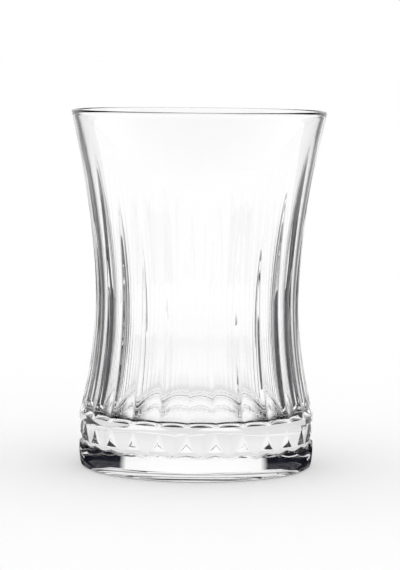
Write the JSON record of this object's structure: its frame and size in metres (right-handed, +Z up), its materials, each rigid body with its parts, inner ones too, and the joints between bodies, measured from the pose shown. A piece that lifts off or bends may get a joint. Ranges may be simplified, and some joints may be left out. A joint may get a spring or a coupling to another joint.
{
  "type": "tea glass",
  "caption": "Waisted clear tea glass with a plain flaring lip, upright flutes, a band of small prisms and a thick base.",
  "frame": {"origin": "middle of the foot, on the table", "axes": "+Z up along the glass's axis, -Y to the front, where the nearest flute is turned 2.5 degrees to the right"},
  "size_m": [0.066, 0.066, 0.0924],
  "materials": {
    "glass": "clear, polished, pressed glass"
  },
  "bodies": {
    "root": {"glass": "glass"}
  },
  "joints": []
}
